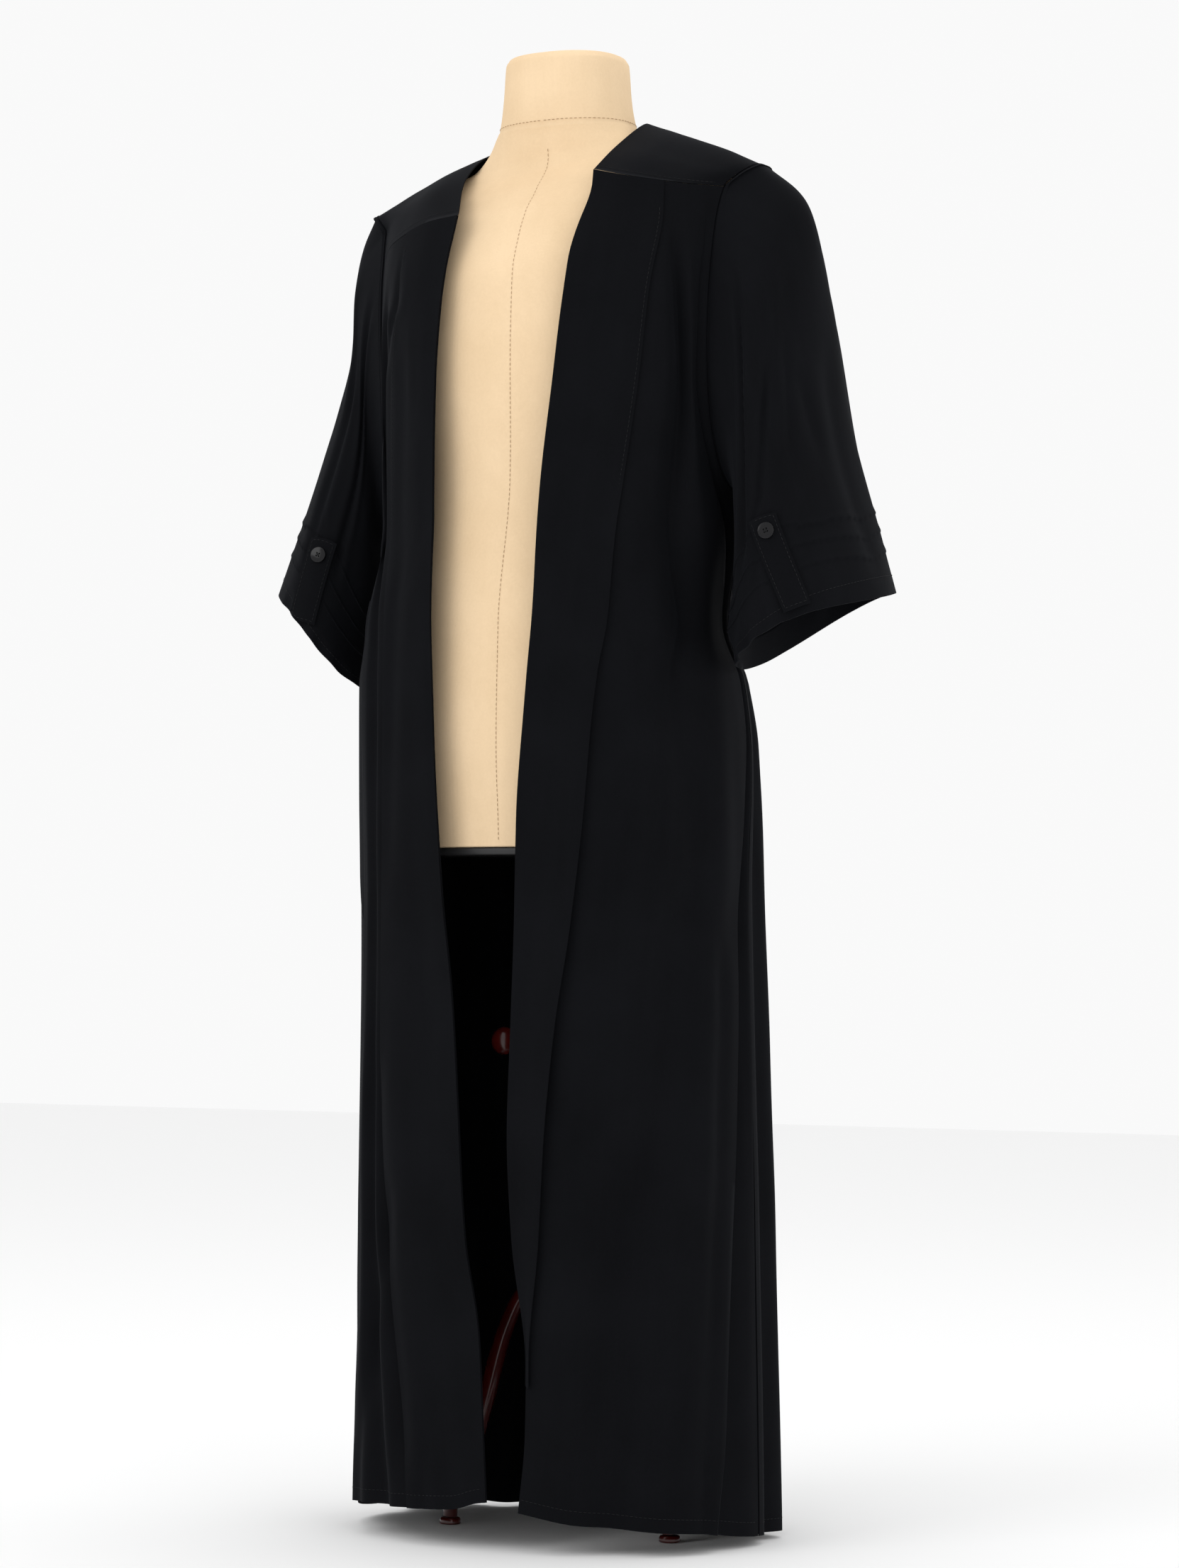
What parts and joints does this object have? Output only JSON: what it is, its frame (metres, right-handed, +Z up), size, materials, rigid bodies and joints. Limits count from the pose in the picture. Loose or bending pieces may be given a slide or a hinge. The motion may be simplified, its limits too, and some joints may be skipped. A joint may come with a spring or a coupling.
{
  "type": "barrister gown on limbless dress form",
  "caption": "Open-fronted barrister gown with a yoke, gathered back, stitched front pleats and wide buttoned-tab sleeves, worn on a limbless dress form with a stand",
  "frame": {"origin": "centre of the bounding box on the floor, z = 0 at the undersides of the three feet", "axes": "+Z up along the pole, +X the wearer's left, -Y the open front of the gown"},
  "size_m": [0.6336, 0.3041, 1.382],
  "materials": {
    "cloth": "matte black wool-like plain weave",
    "button": "glossy black",
    "form": "matte cream cotton cover",
    "wood": "dark red lacquer",
    "metal": "satin black paint"
  },
  "bodies": {
    "root": {"yoke": "cloth", "back": "cloth", "front_left": "cloth", "front_right": "cloth", "front_band_left": "cloth", "front_band_right": "cloth", "pocket_left": "cloth", "pocket_right": "cloth", "sleeve_left": "cloth", "sleeve_right": "cloth", "tab_left": "cloth", "tab_right": "cloth", "button_left": "button", "button_right": "button", "form_torso": "form", "stand_pole": "wood", "stand_hub": "wood", "clamp_knob": "wood", "stand_leg_1": "wood", "stand_leg_2": "wood", "stand_leg_3": "wood", "stand_foot_1": "wood", "stand_foot_2": "wood", "stand_foot_3": "wood", "form_base": "metal", "clamp_collar": "metal", "clamp_stem": "metal"}
  },
  "joints": []
}
